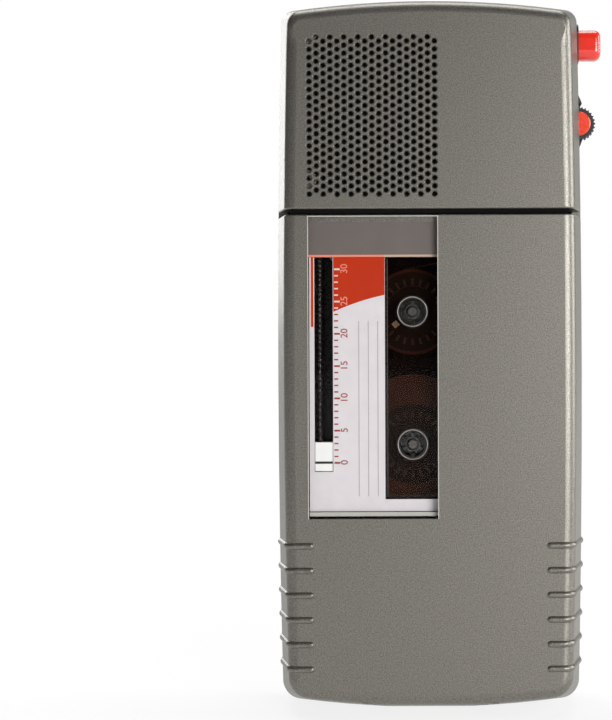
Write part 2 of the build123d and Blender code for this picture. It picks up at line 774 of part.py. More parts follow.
def reel_hub(name_part, z):
    """Hub with a flanged core, a raised collar and three drive teeth in its bore."""
    with BuildPart() as body:
        ring(hub_x, z, hub_radius, 5.2, tape_front, tape_back)
        ring(hub_x, z, 5.2, 2.5, -7.2, tape_back)
        ring(hub_x, z, 3.1, 2.5, -9.7, -7.2)
        with BuildSketch(depth(tape_back)):
            with Locations((hub_x, z)):
                with PolarLocations(0, tooth_count, start_angle=30):
                    with Locations((2.35, 0)):
                        Rectangle(0.9, 0.8)
                Circle(2.7)
                Circle(2.5, mode=Mode.SUBTRACT)
                with PolarLocations(0, tooth_count, start_angle=30):
                    with Locations((2.3, 0)):
                        Rectangle(0.8, 0.8)
        extrude(amount=4.6)
    body.part.label = name_part
    return body


supply_hub = reel_hub("supply_hub", supply_z)
takeup_hub = reel_hub("takeup_hub", takeup_z)

with BuildPart() as supply_tape_pack:
    ring(hub_x, supply_z, supply_pack_radius, hub_radius, tape_front, tape_back)
supply_tape_pack.part.label = "supply_tape_pack"

with BuildPart() as takeup_tape_pack:
    ring(hub_x, takeup_z, takeup_pack_radius, hub_radius, tape_front, tape_back)
takeup_tape_pack.part.label = "takeup_tape_pack"

# Index: a lead screw in the slot carries the white pointer along the scale
screw_x = -22.2
screw_y = -8.4
screw_radius = 0.7
pointer_low = 48.55
pointer_high = 54.3
with BuildPart() as index_screw:
    with BuildSketch(Plane.XY.offset(47.2)):
        with Locations((screw_x, screw_y)):
            Circle(screw_radius)
    extrude(amount=46.6)
index_screw.part.label = "index_screw"

with BuildPart() as index_pointer:
    block(slot_left + 0.1, slot_right - 0.1, cas_front + 0.1, screw_y + 1.3, pointer_low, pointer_high)
    with BuildSketch(Plane.XY.offset(pointer_low - 1)):
        with Locations((screw_x, screw_y)):
            Circle(screw_radius + 0.08)
    extrude(amount=pointer_high - pointer_low + 2, mode=Mode.SUBTRACT)
    block(slot_left, slot_right, cas_front, cas_front + 0.2, 50.0, 50.5, Mode.SUBTRACT)
index_pointer.part.label = "index_pointer"

# ---- Head end: speaker, board, sockets, controls ----

with BuildPart() as speaker_cloth:
    rod(speaker_x, speaker_z, speaker_radius - 0.2, cavity_front + 0.02, cavity_front + 0.3)
    block(-25.2, 2.4, cavity_front + 0.02, cavity_front + 0.3, 103.2, 135.4)
    for boss_x, boss_z in head_screws:
        rod(boss_x, boss_z, 2.4, cavity_front - 1, cavity_front + 1, Mode.SUBTRACT)
speaker_cloth.part.label = "speaker_cloth"

speaker_axis = Axis((speaker_x, 0, speaker_z), (0, 1, 0))
with BuildPart() as speaker_basket:
    with BuildSketch(Plane((speaker_x, 0, speaker_z))):
        with BuildLine():
            Polyline(
                (speaker_radius, cavity_front + 0.3), (speaker_radius, cavity_front + 1.5),
                (12.4, cavity_front + 1.9), (9.0, cavity_front + 5.0), (4.6, cavity_front + 5.0),
                (4.6, cavity_front + 4.2), (8.4, cavity_front + 4.2), (11.8, cavity_front + 0.3),
                close=True,
            )
        make_face()
    revolve(axis=speaker_axis)
speaker_basket.part.label = "speaker_basket"

with BuildPart() as speaker_cone:
    with BuildSketch(Plane((speaker_x, 0, speaker_z))):
        with BuildLine():
            Polyline(
                (0, cavity_front + 3.4), (3.4, cavity_front + 3.4), (11.0, cavity_front + 0.35),
                (11.0, cavity_front + 0.65), (3.6, cavity_front + 3.7), (3.6, cavity_front + 4.6),
                (0, cavity_front + 4.6), close=True,
            )
        make_face()
    revolve(axis=speaker_axis)
speaker_cone.part.label = "speaker_cone"

with BuildPart() as speaker_magnet:
    rod(speaker_x, speaker_z, 7.6, cavity_front + 5.0, cavity_front + 8.4)
    fillet(speaker_magnet.faces().sort_by(Axis.Y)[-1].edges(), 0.5)
speaker_magnet.part.label = "speaker_magnet"

board_front = 8.2
board_back = 9.4
with BuildPart() as circuit_board:
    block(-21.0, 20.0, board_front, board_back, 101.0, 134.0)
    block(-28.0, 4.0, board_front, board_back, 61.0, 101.0)
    for hole_x, hole_z in head_screws + deck_screw_points:
        rod(hole_x, hole_z, 2.7, board_front - 1, board_back + 1, Mode.SUBTRACT)
circuit_board.part.label = "circuit_board"

with BuildPart() as board_components:
    for chip_x, chip_z, chip_w, chip_h in ((-12, 72, 9, 7), (-14, 88, 6, 8), (6, 108, 12, 6), (8, 120, 7, 5)):
        block(chip_x - chip_w / 2, chip_x + chip_w / 2, board_front - 1.6, board_front, chip_z, chip_z + chip_h)
    for can_x, can_z in ((-23, 80), (-23, 90), (-4, 66), (15, 129), (16, 117)):
        rod(can_x, can_z, 2.0, board_front - 4.0, board_front)
board_components.part.label = "board_components"

socket_depth = 9.0
with BuildPart() as jack_sockets:
    for socket_z, radius in ((ear_socket_z, ear_radius), (mic_socket_z, mic_radius)):
        mouth = -wall_x(socket_z)
        with BuildSketch(Plane.YZ.offset(mouth)):
            with Locations((socket_y, socket_z)):
                Circle(radius + 1.1)
                Circle(radius, mode=Mode.SUBTRACT)
        extrude(amount=socket_depth)
        back = mouth + socket_depth
        block(back, back + 1, socket_y - radius - 0.8, socket_y + radius + 0.8,
              socket_z - radius - 0.8, socket_z + radius + 0.8)
jack_sockets.part.label = "jack_sockets"

with BuildPart() as microphone_capsule:
    rod(20.5, 126.0, 2.6, -7.0, -3.4)
    fillet(microphone_capsule.faces().sort_by(Axis.Y)[-1].edges(), 0.3)
microphone_capsule.part.label = "microphone_capsule"

# Record button on the right side
button_tip = 35.3
flange_back = 26.0
flange_front = 27.0
with BuildPart() as record_button:
    block(flange_front, button_tip, button_front, button_back, button_low, button_high)
    fillet(record_button.edges().filter_by(Axis.X), 2.0)
    fillet(record_button.faces().sort_by(Axis.X)[-1].edges(), 1.2)
    block(
        flange_back, flange_front, button_front - 0.7, button_back + 0.7,
        button_low - 0.7, button_high + 0.4,
    )
record_button.part.label = "record_button"

with BuildPart() as button_bezel:
    with BuildSketch(Plane.YZ.offset(wall_x(button_z) - bezel_sink)):
        with Locations((button_y, button_z)):
            RectangleRounded(bezel_width, bezel_height, 1.6)
            RectangleRounded(bezel_width - 1.9, bezel_height - 1.6, 1.2, mode=Mode.SUBTRACT)
    extrude(amount=bezel_sink + 0.3)
button_bezel.part.label = "button_bezel"

spring_seat = 20.6
with BuildPart() as record_spring:
    with BuildSketch(Plane.YZ.offset(spring_seat)):
        with Locations((button_y, button_z)):
            Circle(1.7)
            Circle(1.2, mode=Mode.SUBTRACT)
    extrude(amount=flange_back - spring_seat)
record_spring.part.label = "record_spring"

# Thumbwheel, its red cap and the black lens-shaped bezel with the pot's seat
wheel_teeth = 28
with BuildPart() as volume_wheel:
    rod(wheel_x, wheel_z, wheel_radius - 0.35, wheel_front, wheel_back)
    with BuildSketch(depth(wheel_back)):
        with Locations((wheel_x, wheel_z)):
            with PolarLocations(wheel_radius - 0.35, wheel_teeth):
                RegularPolygon(0.36, 3)
    extrude(amount=wheel_back - wheel_front)
    rod(wheel_x, wheel_z, 2.52, wheel_front - 1, wheel_front + 0.5, Mode.SUBTRACT)
    rod(wheel_x, wheel_z, 0.8, wheel_back, 5.0)
volume_wheel.part.label = "volume_wheel"

with BuildPart() as volume_cap:
    rod(wheel_x, wheel_z, 2.5, wheel_front - 0.25, wheel_front + 0.5)
    chamfer(volume_cap.faces().sort_by(Axis.Y)[0].edges(), 0.2)
volume_cap.part.label = "volume_cap"

bezel_wall = wall_x(wheel_z)
bezel_proud = 1.3
with BuildPart() as side_bezel:
    with BuildSketch(depth(7.4)):
        with BuildLine():
            ThreePointArc(
                (bezel_wall, wheel_z - bezel_half), (bezel_wall + bezel_proud, wheel_z),
                (bezel_wall, wheel_z + bezel_half),
            )
            Line((bezel_wall, wheel_z + bezel_half), (bezel_wall, wheel_z - bezel_half))
        make_face()
    extrude(amount=9.2)
    block(28.2, bezel_wall, -1.2, 7.0, wheel_z - 4.2, wheel_z + 4.2)
    rod(wheel_x, wheel_z, 2.7, 3.5, 6.9, Mode.SUBTRACT)
    rod(wheel_x, wheel_z, 0.86, 2.0, 4.0, Mode.SUBTRACT)
    rod(wheel_x, wheel_z, 3.85, -3.0, 2.8, Mode.SUBTRACT)
    block(25.0, 30.0, 3.5, 6.9, wheel_z - 2.4, wheel_z + 2.4, Mode.SUBTRACT)
side_bezel.part.label = "side_bezel"

with BuildPart() as volume_pot:
    rod(wheel_x, wheel_z, 2.6, 3.6, 6.8)
    rod(wheel_x, wheel_z, 0.86, 3.0, 5.6, Mode.SUBTRACT)
    block(26.6, 28.6, 4.4, 6.0, wheel_z - 2.2, wheel_z + 2.2)
    block(23.6, 26.6, 5.4, 5.8, wheel_z - 0.3, wheel_z + 0.3)
volume_pot.part.label = "volume_pot"

# Function slider, flush in its recess on the right side
slider_middle = (slider_low + slider_high) / 2
slider_wall = wall_x(slider_middle)
slide_travel = 4.0
knob_low = slider_low + 0.9
with BuildPart() as function_slider:
    block(29.5, slider_wall - 0.1, slider_y - 1.4, slider_y + 1.4, knob_low, knob_low + 7.0)
    for index in range(4):
        with Locations((slider_wall - 0.1, slider_y, knob_low + 1.4 + 1.4 * index)):
            Box(0.6, 3, 0.5, mode=Mode.SUBTRACT)
    block(27.2, 29.5, slider_y - 0.5, slider_y + 0.5, knob_low + 2.0, knob_low + 5.0)
function_slider.part.label = "function_slider"

with BuildPart() as board_switches:
    block(spring_seat - 5, spring_seat, button_y - 3, button_y + 3, button_z - 3, button_z + 2.4)
    with BuildSketch(Plane.YZ.offset(spring_seat)):
        with Locations((button_y, button_z)):
            Circle(0.8)
    extrude(amount=2.6)
    block(23.6, 27.0, slider_y - 1.6, slider_y + 3.4, slider_low + 11.8, slider_high + 1.4)
board_switches.part.label = "board_switches"

pieces = [
    head_cover, door_shell, hinge_pins, window_pane, window_mask, cassette_spring, door_latch, mid_frame,
    rear_shell, case_screws, battery_cover, battery_tray, battery_cell_lower, battery_cell_upper,
    battery_contacts, chassis_deck, deck_screws, capstan_bearing, flywheel, capstan_shaft, motor_can,
    motor_pulley, takeup_clutch, drive_belt, supply_spindle, takeup_spindle, head_plate,
    record_play_head, erase_head, pinch_roller, cassette_front_half, cassette_back_half,
    cassette_window, cassette_label, guide_rollers, pressure_pad, tape_run, supply_hub, takeup_hub,
    supply_tape_pack, takeup_tape_pack, index_screw, index_pointer, speaker_cloth, speaker_basket,
    speaker_cone, speaker_magnet, circuit_board, board_components, jack_sockets, microphone_capsule,
    record_button, button_bezel, record_spring, volume_wheel, volume_cap, side_bezel, volume_pot,
    function_slider, board_switches,
]
for piece in pieces:
    export_step(piece.part, f"parts/{piece.part.label}.step")
print(len(pieces), "pieces written")
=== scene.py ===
import math
import bmesh
import bpy
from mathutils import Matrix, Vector


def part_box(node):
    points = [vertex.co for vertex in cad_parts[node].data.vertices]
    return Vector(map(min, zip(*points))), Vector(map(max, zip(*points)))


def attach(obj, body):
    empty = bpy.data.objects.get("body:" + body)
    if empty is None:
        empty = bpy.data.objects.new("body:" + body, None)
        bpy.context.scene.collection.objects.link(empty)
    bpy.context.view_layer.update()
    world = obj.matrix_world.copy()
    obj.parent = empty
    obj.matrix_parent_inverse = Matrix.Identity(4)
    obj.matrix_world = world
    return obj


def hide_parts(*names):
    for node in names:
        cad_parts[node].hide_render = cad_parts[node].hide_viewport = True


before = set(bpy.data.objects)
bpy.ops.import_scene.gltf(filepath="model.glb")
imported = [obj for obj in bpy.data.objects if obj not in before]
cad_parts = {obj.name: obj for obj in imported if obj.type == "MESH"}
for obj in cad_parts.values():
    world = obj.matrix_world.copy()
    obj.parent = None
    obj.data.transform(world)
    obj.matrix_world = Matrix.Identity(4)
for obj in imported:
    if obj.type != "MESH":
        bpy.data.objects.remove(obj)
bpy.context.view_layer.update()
mm = 0.001
print("frame loaded:", len(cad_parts), "nodes")


def linear(hexColour, alpha=1.0):
    channels = [int(hexColour[i:i + 2], 16) / 255 for i in (1, 3, 5)]
    return [c / 12.92 if c <= 0.04045 else ((c + 0.055) / 1.055) ** 2.4 for c in channels] + [alpha]


def addNode(tree, kind, inputs=None, **settings):
    made = tree.nodes.new(kind)
    for key, value in settings.items():
        setattr(made, key, value)
    for key, value in (inputs or {}).items():
        if isinstance(value, bpy.types.NodeSocket):
            tree.links.new(value, made.inputs[key])
        else:
            made.inputs[key].default_value = value
    return made


def newMaterial(name):
    material = bpy.data.materials.new(name)
    material.use_nodes = True
    material.node_tree.nodes.clear()
    return material, material.node_tree


def closeMaterial(material, shader, **viewport):
    addNode(material.node_tree, "ShaderNodeOutputMaterial", {"Surface": shader.outputs[0]})
    for key, value in viewport.items():
        setattr(material, key, value)
    return material


def meshPiece(name, body, material, build, smooth=True):
    mesh = bpy.data.meshes.new(name)
    work = bmesh.new()
    build(work)
    bmesh.ops.recalc_face_normals(work, faces=work.faces)
    work.to_mesh(mesh)
    work.free()
    for polygon in mesh.polygons:
        polygon.use_smooth = smooth
    piece = bpy.data.objects.new(name, mesh)
    bpy.context.scene.collection.objects.link(piece)
    mesh.materials.append(material)
    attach(piece, body)
    return piece


# Closed prism along Y from an outline of (x, z) points, in metres
def addPrism(work, outline, yFront, yBack):
    front = [work.verts.new((x, yFront, z)) for x, z in outline]
    back = [work.verts.new((x, yBack, z)) for x, z in outline]
    count = len(outline)
    work.faces.new(front)
    work.faces.new(back[::-1])
    for i in range(count):
        work.faces.new((front[i], front[(i + 1) % count], back[(i + 1) % count], back[i]))


def rectangle(x0, x1, z0, z1):
    return [(x0, z0), (x1, z0), (x1, z1), (x0, z1)]


# Closed ring about an axis along Y: profile is a loop of (radius, y) points
def addRingBand(work, centre, profile, steps):
    loops = []
    for i in range(steps):
        angle = 2 * math.pi * i / steps
        loops.append([
            work.verts.new((centre[0] + r * math.cos(angle), y, centre[1] + r * math.sin(angle)))
            for r, y in profile
        ])
    count = len(profile)
    for i in range(steps):
        near, far = loops[i], loops[(i + 1) % steps]
        for j in range(count):
            work.faces.new((near[j], near[(j + 1) % count], far[(j + 1) % count], far[j]))


# Metallic lacquer sprayed on ABS: fine flake under a satin clear coat gives a soft sheen that turns
# with the form, over a faint orange peel
casePaintValues = {
    "base": "#605d57", "light": "#87847c", "flakeMm": 0.12, "peelMm": 0.5, "grainMm": 0.24,
    "metallic": 0.8, "roughness": 0.42, "roughnessSpread": 0.07, "bumpMm": 0.02, "bumpStrength": 0.35,
    "coat": 0.12, "coatRoughness": 0.35,
}


def makeCasePaint():
    values = casePaintValues
    material, tree = newMaterial("metallicLacquerOnAbs")
    place = addNode(tree, "ShaderNodeTexCoord").outputs["Object"]
    flakes = addNode(tree, "ShaderNodeTexVoronoi", {
        "Vector": place, "Scale": 1 / (values["flakeMm"] * mm),
    })
    cloud = addNode(tree, "ShaderNodeTexNoise", {
        "Vector": place, "Scale": 1 / (values["peelMm"] * mm), "Detail": 3.0,
    })
    grain = addNode(tree, "ShaderNodeTexNoise", {
        "Vector": place, "Scale": 1 / (values["grainMm"] * mm), "Detail": 2.0,
    })
    tone = addNode(tree, "ShaderNodeMapRange", {
        "Value": grain.outputs[0], "From Min": 0.3, "From Max": 0.7, "To Min": 0.0, "To Max": 1.0,
    })
    colour = addNode(tree, "ShaderNodeMix", {
        0: tone.outputs[0], 6: linear(values["base"]), 7: linear(values["light"]),
    }, data_type="RGBA")
    gloss = addNode(tree, "ShaderNodeMapRange", {
        "Value": flakes.outputs["Color"], "From Min": 0.0, "From Max": 1.0,
        "To Min": values["roughness"] - values["roughnessSpread"],
        "To Max": values["roughness"] + values["roughnessSpread"],
    })
    height = addNode(tree, "ShaderNodeMath", {
        0: cloud.outputs[0], 1: grain.outputs[0],
    }, operation="ADD")
    bump = addNode(tree, "ShaderNodeBump", {
        "Height": height.outputs[0], "Strength": values["bumpStrength"],
        "Distance": values["bumpMm"] * mm,
    })
    shader = addNode(tree, "ShaderNodeBsdfPrincipled", {
        "Base Color": colour.outputs[2], "Metallic": values["metallic"], "Roughness": gloss.outputs[0],
        "Normal": bump.outputs[0],
        "Coat Weight": values["coat"], "Coat Roughness": values["coatRoughness"],
    })
    return closeMaterial(material, shader)


# Moulded, pressed or cast stuff: two close tones in a fine noise, and a bump of the same grain
def makeMoulded(name, colour, shade, roughness, grainMm, bumpMm, specular=0.5, metallic=0.0, coat=0.0):
    material, tree = newMaterial(name)
    place = addNode(tree, "ShaderNodeTexCoord").outputs["Object"]
    grain = addNode(tree, "ShaderNodeTexNoise", {
        "Vector": place, "Scale": 1 / (grainMm * mm), "Detail": 4.0,
    })
    wide = addNode(tree, "ShaderNodeTexNoise", {"Vector": place, "Scale": 1 / (9 * grainMm * mm)})
    colourMix = addNode(tree, "ShaderNodeMix", {
        0: wide.outputs[0], 6: linear(colour), 7: linear(shade),
    }, data_type="RGBA")
    gloss = addNode(tree, "ShaderNodeMapRange", {
        "Value": grain.outputs[0], "To Min": max(roughness - 0.06, 0.02), "To Max": roughness + 0.06,
    })
    bump = addNode(tree, "ShaderNodeBump", {
        "Height": grain.outputs[0], "Strength": 0.3, "Distance": bumpMm * mm,
    })
    shader = addNode(tree, "ShaderNodeBsdfPrincipled", {
        "Base Color": colourMix.outputs[2], "Metallic": metallic, "Roughness": gloss.outputs[0],
        "Normal": bump.outputs[0], "Specular IOR Level": specular, "Coat Weight": coat,
    })
    return closeMaterial(material, shader)


# Rolled or brushed metal: noise stretched along one axis shades the colour and the gloss
def makeBrushed(name, colour, shade, roughness, lineMm, direction):
    material, tree = newMaterial(name)
    place = addNode(tree, "ShaderNodeTexCoord").outputs["Object"]
    stretch = [1 / (lineMm * mm)] * 3
    stretch[direction] = 1 / (40 * lineMm * mm)
    mapped = addNode(tree, "ShaderNodeMapping", {"Vector": place, "Scale": stretch})
    lines = addNode(tree, "ShaderNodeTexNoise", {
        "Vector": mapped.outputs[0], "Scale": 1.0, "Detail": 5.0,
    })
    colourMix = addNode(tree, "ShaderNodeMix", {
        0: lines.outputs[0], 6: linear(colour), 7: linear(shade),
    }, data_type="RGBA")
    gloss = addNode(tree, "ShaderNodeMapRange", {
        "Value": lines.outputs[0], "To Min": roughness - 0.08, "To Max": roughness + 0.1,
    })
    bump = addNode(tree, "ShaderNodeBump", {
        "Height": lines.outputs[0], "Strength": 0.15, "Distance": 0.01 * mm,
    })
    shader = addNode(tree, "ShaderNodeBsdfPrincipled", {
        "Base Color": colourMix.outputs[2], "Metallic": 1.0, "Roughness": gloss.outputs[0],
        "Normal": bump.outputs[0],
    })
    return closeMaterial(material, shader)


# Clear sheet: passes tinted light straight through, with a little body of its own and a polished skin
def makeClear(name, tint, body, bodyShare, roughness, ior, smearMm=7):
    material, tree = newMaterial(name)
    place = addNode(tree, "ShaderNodeTexCoord").outputs["Object"]
    smears = addNode(tree, "ShaderNodeTexNoise", {
        "Vector": place, "Scale": 1 / (smearMm * mm), "Detail": 3.0,
    })
    gloss = addNode(tree, "ShaderNodeMapRange", {
        "Value": smears.outputs[0], "To Min": roughness * 0.6, "To Max": roughness * 1.6,
    })
    through = addNode(tree, "ShaderNodeBsdfTransparent", {"Color": linear(tint)})
    solid = addNode(tree, "ShaderNodeBsdfDiffuse", {"Color": linear(body)})
    inside = addNode(tree, "ShaderNodeMixShader", {
        0: bodyShare, 1: through.outputs[0], 2: solid.outputs[0],
    })
    skin = addNode(tree, "ShaderNodeBsdfGlossy", {"Color": (1, 1, 1, 1), "Roughness": gloss.outputs[0]})
    share = addNode(tree, "ShaderNodeFresnel", {"IOR": ior})
    mixed = addNode(tree, "ShaderNodeMixShader", {
        0: share.outputs[0], 1: inside.outputs[0], 2: skin.outputs[0],
    })
    return closeMaterial(material, mixed, surface_render_method="BLENDED")


casePaint = makeCasePaint()
# Plain black plastic with a dull even sheen
blackAbs = makeMoulded("blackAbsMoulded", "#0d0c0c", "#161514", 0.45, 0.4, 0.02)
# Almost invisible sheet, with a thin clean reflection at low angles
clearAcrylic = makeClear("clearAcrylicPolished", "#ffffff", "#ffffff", 0.0, 0.03, 1.1)
# Flat warm grey ink behind the pane
maskPrint = makeMoulded("screenPrintedGreyMask", "#5c534e", "#675f5a", 0.5, 0.5, 0.005)
# Bright rolled strip with lines along its length
springSteel = makeBrushed("springSteelRolled", "#b9b7b2", "#8f8d89", 0.3, 0.08, 2)
# Dark oiled steel, lighter where the light catches the slots
blackScrew = makeMoulded("steelScrewBlackened", "#2a2827", "#3c3a38", 0.35, 0.2, 0.01, metallic=0.8)
# Silvery grey plating with a dull shine
zincScrew = makeBrushed("steelScrewZincPlated", "#b5b4b0", "#8d8c8a", 0.35, 0.06, 0)
# Glossy blue film drawn tight over the cell
cellSleeve = makeMoulded("cellSleeveShrinkFilm", "#1f3a63", "#27446d", 0.25, 1.5, 0.01, coat=0.5)
# Cool grey sheet with faint rolling marks
deckSteel = makeBrushed("steelSheetZincPlated", "#a9a8a4", "#8b8a87", 0.4, 0.12, 0)
# Yellow turned metal with rings that glint
brassTurned = makeBrushed("brassTurned", "#c49a52", "#a07c3e", 0.25, 0.08, 1)
# Near mirror of a ground shaft
brightSteel = makeBrushed("steelShaftGround", "#d6d6d4", "#b2b2b0", 0.15, 0.05, 1)
# Dead black, no shine
beltRubber = makeMoulded("neopreneBeltMoulded", "#1a1a1a", "#242423", 0.7, 0.2, 0.02)
# Pale grey plastic with a waxy highlight
greyNylon = makeMoulded("nylonMouldedGrey", "#8d8f8d", "#9ea09d", 0.38, 0.3, 0.01, specular=0.6)
# Brown black plastic that shines softly on its edges
cassetteAbs = makeMoulded("polystyreneMouldedBlack", "#171312", "#211b19", 0.28, 0.4, 0.01,
                          specular=0.2)
# Warm brown clear sheet that darkens what lies under it
smokedStyrene = makeClear("polystyreneSmokedClear", "#dccdc4", "#1b1412", 0.03, 0.06, 1.12)
# Cool white coated paper, matt to the eye
labelPaper = makeMoulded("coatedLabelPaper", "#dcd6d8", "#cfcacd", 0.42, 0.25, 0.004, specular=0.25)
# Flat orange red ink
redPrint = makeMoulded("redOffsetPrint", "#bb330f", "#b02d0e", 0.4, 0.3, 0.003, specular=0.15)
# Thinner dark red of the figures and ticks
darkRedPrint = makeMoulded("darkRedOffsetPrint", "#9a2c1e", "#86271b", 0.45, 0.2, 0.003)
# Pinkish white where the paper shows in the red
palePrint = makeMoulded("unprintedPaperFigure", "#e9c9bf", "#dfbcb2", 0.45, 0.2, 0.003)
# Weak grey hairlines
greyRule = makeMoulded("greyRulePrint", "#a99aa0", "#9f9096", 0.5, 0.2, 0.003)
# Near black plastic of the reel cores
hubStyrene = makeMoulded("polystyreneHubDark", "#17120f", "#201a17", 0.35, 0.3, 0.01, specular=0.3)
# Painted highlight: the hub's own plastic coloured lighter on the teeth, so that they read against the
# core as if lit
hubTeethLitCopy = makeMoulded("paintedLitHubTeeth", "#3d342f", "#494039", 0.3, 0.3, 0.005)
# Dark shiny plastic with small bright glints
spindleNylon = makeMoulded("nylonMouldedDark", "#3a3735", "#484542", 0.2, 0.3, 0.005, specular=0.8)
# Brown of the wound tape edge, without gloss
tapeFilm = makeMoulded("magneticOxideFilm", "#4a342a", "#553d31", 0.35, 0.15, 0.005, specular=0.15)
# Fuzzy grey brown wool
feltPad = makeMoulded("pressedWoolFelt", "#8d8676", "#6f6a5d", 0.95, 0.12, 0.05)
# Clean white plastic, the brightest thing in the window
pointerWhite = makeMoulded("acetalPointerWhite", "#f2f2ef", "#e8e8e5", 0.35, 0.3, 0.005)
# Dark lacquered metal
speakerFrame = makeMoulded("speakerBasketLacquered", "#2b2b2b", "#383837", 0.4, 0.3, 0.01, metallic=0.5)
# Dull fibrous black paper
conePaper = makeMoulded("speakerConePulp", "#26231f", "#332f29", 0.9, 0.25, 0.04)
# Grey sintered block with a gritty face
magnetFerrite = makeMoulded("ferriteMagnetSintered", "#3a3a3b", "#484848", 0.6, 0.3, 0.02)
# Glossy green lacquer over the laminate
boardLaminate = makeMoulded("epoxyBoardGreenLacquer", "#1d5a34", "#18492b", 0.3, 0.9, 0.01, coat=0.4)
# Dull black of moulded parts on the board
epoxyBlack = makeMoulded("mouldedEpoxyBlack", "#1d1d1e", "#29292a", 0.5, 0.2, 0.01)
# Dark turned plastic whose ridges pick up small lights
screwAcetal = makeMoulded("acetalTurnedBlack", "#150f0e", "#1f1816", 0.35, 0.2, 0.005, specular=0.3)
# Deep matt black that keeps the seam dark
frameAbs = makeMoulded("blackAbsMatt", "#050505", "#080808", 0.75, 0.3, 0.02, specular=0.1)
# Painted light and shade: a pale grey that stands in for the highlight where the pane's edges catch the
# light, and for the grey shade band along the window's lower edge
paneEdgeLightAndShade = makeMoulded("paintedPaneEdgeLightAndShade", "#b8b5ae", "#c4c1ba", 0.3, 0.3, 0.003)
# Beige lower edge of the mask over the dark window
beigePrint = makeMoulded("maskEdgePrint", "#b89c88", "#c2a692", 0.45, 0.2, 0.003)
# The same edge over the red of the label, and the figures on the red
salmonPrint = makeMoulded("maskEdgeOverLabel", "#dd7f69", "#e38a75", 0.45, 0.2, 0.003)
# Polished metal of the heads
headMetal = makeBrushed("permalloyHeadLapped", "#bdbab4", "#9c9994", 0.2, 0.05, 2)
# Black ground rubber
pinchRubber = makeMoulded("pinchRubberGround", "#232323", "#2e2e2d", 0.75, 0.15, 0.02)
# Saturated red plastic with sharp highlights
redGloss = makeMoulded("redAbsPolished", "#e5301f", "#dc2b1c", 0.22, 0.6, 0.004, specular=0.6, coat=0.4)
# Orange red plastic, a little softer than the button
orangeGloss = makeMoulded("orangeRedAbsPolished", "#ec4222", "#e33b1e", 0.28, 0.6, 0.004, coat=0.3)


clothValues = {"waveScaleMm": 2.2, "bumpMm": 0.1, "bumpStrength": 0.6, "roughness": 0.9}


# Woven dust cloth: a dull black weave behind the grille
def makeClothBlack():
    values = clothValues
    material, tree = newMaterial("wovenPolyesterBlack")
    place = addNode(tree, "ShaderNodeTexCoord").outputs["Object"]
    scale = 1 / (values["waveScaleMm"] * mm)
    warp = addNode(tree, "ShaderNodeTexWave", {"Vector": place, "Scale": scale}, bands_direction="X")
    weft = addNode(tree, "ShaderNodeTexWave", {"Vector": place, "Scale": scale}, bands_direction="Z")
    weave = addNode(tree, "ShaderNodeMath", {
        0: warp.outputs[1], 1: weft.outputs[1],
    }, operation="MULTIPLY")
    colour = addNode(tree, "ShaderNodeMix", {
        0: weave.outputs[0], 6: linear("#0a0a0a"), 7: linear("#161515"),
    }, data_type="RGBA")
    bump = addNode(tree, "ShaderNodeBump", {
        "Height": weave.outputs[0], "Strength": values["bumpStrength"], "Distance": values["bumpMm"] * mm,
    })
    shader = addNode(tree, "ShaderNodeBsdfPrincipled", {
        "Base Color": colour.outputs[2], "Roughness": values["roughness"], "Normal": bump.outputs[0],
    })
    return closeMaterial(material, shader)


clothBlack = makeClothBlack()

nodeFinish = {
    casePaint: ["rear_shell", "head_cover", "door_shell", "battery_cover"],
    frameAbs: ["mid_frame"],
    blackAbs: ["battery_tray", "jack_sockets", "button_bezel", "side_bezel",
               "volume_wheel", "function_slider"],
    clearAcrylic: ["window_pane"],
    maskPrint: ["window_mask"],
    springSteel: ["battery_contacts", "record_spring", "cassette_spring"],
    blackScrew: ["case_screws"],
    zincScrew: ["deck_screws"],
    cellSleeve: ["battery_cell_lower", "battery_cell_upper"],
    deckSteel: ["chassis_deck", "motor_can", "head_plate"],
    brassTurned: ["capstan_bearing", "flywheel", "motor_pulley"],
    brightSteel: ["capstan_shaft", "hinge_pins"],
    beltRubber: ["drive_belt"],
    greyNylon: ["volume_pot", "door_latch", "guide_rollers", "takeup_clutch"],
    spindleNylon: ["supply_spindle", "takeup_spindle"],
    cassetteAbs: ["cassette_front_half", "cassette_back_half"],
    smokedStyrene: ["cassette_window"],
    labelPaper: ["cassette_label"],
    hubStyrene: ["supply_hub", "takeup_hub"],
    tapeFilm: ["supply_tape_pack", "takeup_tape_pack", "tape_run"],
    feltPad: ["pressure_pad"],
    pointerWhite: ["index_pointer"],
    clothBlack: ["speaker_cloth"],
    speakerFrame: ["speaker_basket"],
    conePaper: ["speaker_cone"],
    magnetFerrite: ["speaker_magnet"],
    boardLaminate: ["circuit_board"],
    epoxyBlack: ["board_components", "microphone_capsule", "board_switches"],
    screwAcetal: ["index_screw"],
    headMetal: ["record_play_head", "erase_head"],
    pinchRubber: ["pinch_roller"],
    redGloss: ["record_button"],
    orangeGloss: ["volume_cap"],
}
for material, names in nodeFinish.items():
    for name in names:
        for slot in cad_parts[name].material_slots:
            slot.material = material
print("materials on CAD nodes")


labelValues = {
    "zeroMm": 50.2, "stepMm": 1.29, "marks": 31, "tickLeftMm": -19.15, "tickMm": 0.8, "longTickMm": 1.15,
    "tickHeightMm": 0.28, "figureXMm": -17.1, "figureMm": 1.95, "inkMm": 0.02,
}
labelLow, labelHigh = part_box("cassette_label")
printBack = labelLow.y
printFront = printBack - labelValues["inkMm"] * mm
redValues = {
    "leftMm": -19.3, "rightMm": -9.05, "startMm": 80.4, "climbMm": 4.6, "flattenMm": 1.25, "steps": 24,
    "stripMm": (-23.75, -23.3, 77.4), "borderMm": ((-23.95, -23.75), (-23.3, -23.1)), "borderLowMm": 77.3,
}
redLeft, redRight, redTop = redValues["leftMm"] * mm, redValues["rightMm"] * mm, labelHigh.z


